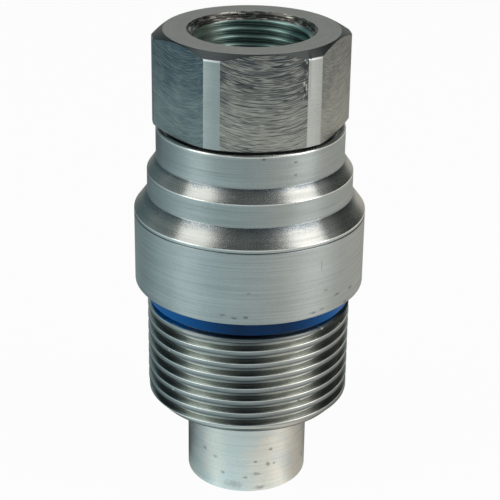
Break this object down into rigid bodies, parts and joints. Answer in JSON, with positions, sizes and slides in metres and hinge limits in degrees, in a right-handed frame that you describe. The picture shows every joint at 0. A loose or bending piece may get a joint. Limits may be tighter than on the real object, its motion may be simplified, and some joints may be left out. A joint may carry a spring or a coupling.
{
  "type": "hydraulic coupling nipple",
  "caption": "Screw-to-connect hydraulic coupling nipple with hexagon port end, stepped collars, coarse outer thread, blue ring and spring-closed flat-face valve in its nose.",
  "frame": {"origin": "centre of the nose's end face, on the surface that it stands on", "axes": "+Z along the bore from the nose to the port; one hexagon flat faces -Y"},
  "size_m": [0.05, 0.05, 0.1041],
  "materials": {
    "zinc_plated_steel": "turned, zinc plated",
    "valve_steel": "turned, hardened",
    "spring_steel": "drawn wire",
    "seal_rubber": "matt",
    "backup_plastic": "smooth",
    "blue_polyurethane": "satin"
  },
  "bodies": {
    "nipple_body": {"valve_body": "zinc_plated_steel", "port_adapter": "zinc_plated_steel", "adapter_o_ring": "seal_rubber", "adapter_backup_ring": "backup_plastic", "bumper_ring": "blue_polyurethane", "valve_spring": "spring_steel", "valve_guide": "valve_steel", "guide_retaining_ring": "spring_steel"},
    "valve": {"valve_poppet": "valve_steel", "poppet_o_ring": "seal_rubber", "poppet_backup_ring": "backup_plastic"}
  },
  "joints": [
    {"name": "valve_slide", "type": "slide", "parent": "nipple_body", "child": "valve", "axis": [0, 0, 1], "range_m": [0, 0.01], "stiffness_N_per_m": 4800, "springref_m": -0.001, "deforming": ["valve_spring"]}
  ]
}
